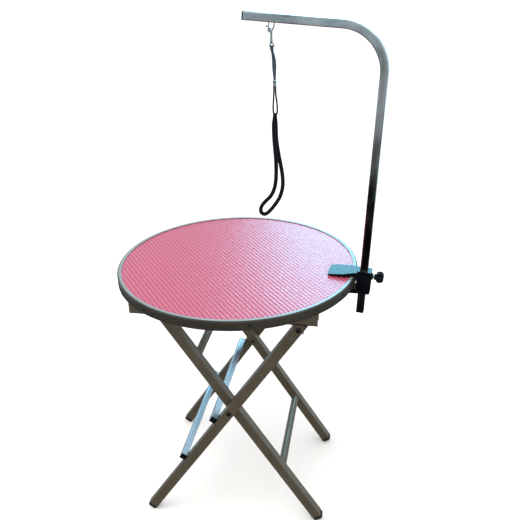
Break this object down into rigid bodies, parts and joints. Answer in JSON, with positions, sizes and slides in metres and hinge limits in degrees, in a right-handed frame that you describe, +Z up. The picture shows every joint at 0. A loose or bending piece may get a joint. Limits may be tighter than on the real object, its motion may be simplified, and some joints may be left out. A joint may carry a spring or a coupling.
{
  "type": "grooming table",
  "caption": "Round folding pet grooming table: ribbed mat top, scissor legs of square tube, and a clamped arm that holds a hanging noose leash.",
  "frame": {"origin": "on the floor, under the middle of the whole object's outline", "axes": "+Z up; +X from the table's axis towards the clamped arm's pole; +Y across the frame, along the pivot axes"},
  "size_m": [0.6648, 0.6, 1.2782],
  "materials": {
    "frame_steel": "semi-gloss grey-brown paint with a fine grain",
    "plated_bar": "bright plated, faint drawing lines",
    "arm_chrome": "bright plate with fine lengthwise brush lines",
    "zinc_hardware": "satin zinc plate",
    "rim_metal": "dark satin plate, light on the lip",
    "pink_mat": "ribbed in a fine diamond pattern, semi-gloss",
    "board": "plain panel, sealed",
    "clamp_casting": "black enamel on a casting",
    "black_plastic": "moulded black",
    "black_rubber": "matt black",
    "navy_webbing": "woven nylon tape",
    "black_cord": "soft black sleeve"
  },
  "bodies": {
    "outer_frame": {"outer_bar_1": "plated_bar", "outer_bar_2": "plated_bar", "outer_leg_near": "frame_steel", "outer_leg_far": "frame_steel", "outer_plug_near": "black_plastic", "outer_plug_far": "black_plastic", "outer_foot_near": "black_rubber", "outer_foot_far": "black_rubber", "bar_cap_1_near": "black_plastic", "bar_cap_1_far": "black_plastic", "bar_cap_2_near": "black_plastic", "bar_cap_2_far": "black_plastic", "pivot_bolt_near": "zinc_hardware", "pivot_bolt_far": "zinc_hardware", "pivot_nut_near": "zinc_hardware", "pivot_nut_far": "zinc_hardware", "pivot_spacer_near": "black_plastic", "pivot_spacer_far": "black_plastic"},
    "inner_frame": {"inner_leg_near": "frame_steel", "inner_leg_far": "frame_steel", "inner_plug_near": "black_plastic", "inner_plug_far": "black_plastic", "inner_foot_near": "black_rubber", "inner_foot_far": "black_rubber", "inner_bar_upper": "frame_steel", "inner_bar_lower": "frame_steel", "latch_bar": "frame_steel"},
    "tabletop": {"top_board": "board", "top_mat": "pink_mat", "edge_rim": "rim_metal", "rim_screw_1": "zinc_hardware", "rim_screw_2": "zinc_hardware", "rim_screw_3": "zinc_hardware", "rim_screw_4": "zinc_hardware", "rim_screw_5": "zinc_hardware", "rim_screw_6": "zinc_hardware", "rim_screw_7": "zinc_hardware", "rim_screw_8": "zinc_hardware", "rail_near": "frame_steel", "rail_far": "frame_steel", "catch_near": "black_plastic", "catch_far": "black_plastic", "hinge_screw_near": "zinc_hardware", "hinge_screw_far": "zinc_hardware", "clamp_body": "clamp_casting", "jaw_pad": "black_rubber", "clamp_screw": "zinc_hardware"},
    "knob": {"knob_stud": "zinc_hardware", "star_knob": "black_plastic"},
    "arm": {"arm_tube": "arm_chrome", "pole_cap": "black_plastic", "arm_cap": "black_plastic", "leash_pin": "zinc_hardware"},
    "snap_hook": {"snap_hook": "zinc_hardware"},
    "snap_bolt": {"snap_bolt": "zinc_hardware"},
    "leash": {"swivel_eye": "zinc_hardware", "leash_strap": "navy_webbing", "strap_crimp": "zinc_hardware", "thin_loop": "black_cord", "noose_loop": "black_cord"}
  },
  "joints": [
    {"name": "frame_fold", "type": "hinge", "parent": "outer_frame", "child": "inner_frame", "pos_m": [-0.02638, 0, 0.361], "axis": [0, 1, 0], "range_deg": [0, 63]},
    {"name": "top_lift", "type": "hinge", "parent": "outer_frame", "child": "tabletop", "pos_m": [0.14528, 0, 0.62034], "axis": [0, 1, 0], "range_deg": [0, 32]},
    {"name": "arm_height", "type": "slide", "parent": "tabletop", "child": "arm", "axis": [0.039, -0.0048, 0.9992], "range_m": [-0.12, 0.045]},
    {"name": "knob_turn", "type": "hinge", "parent": "tabletop", "child": "knob", "pos_m": [0.30847, -0.04185, 0.68902], "axis": [0.9918, -0.1218, -0.0393], "range_deg": [0, 720]},
    {"name": "leash_swing", "type": "hinge", "parent": "arm", "child": "snap_hook", "pos_m": [0.06231, -0.01163, 1.26457], "axis": [0.1219, 0.9925, 0], "range_deg": [-15, 15]},
    {"name": "snap_slide", "type": "slide", "parent": "snap_hook", "child": "snap_bolt", "axis": [0, 0, -1], "range_m": [0, 0.008], "stiffness_N_per_m": 150, "springref_m": -0.004},
    {"name": "leash_turn", "type": "hinge", "parent": "snap_hook", "child": "leash", "pos_m": [0.06231, -0.01163, 1.21757], "axis": [0, 0, 1], "continuous": true}
  ],
  "couplings": [
    {"joint": "top_lift", "follows": "frame_fold", "ratio": 0.5}
  ]
}
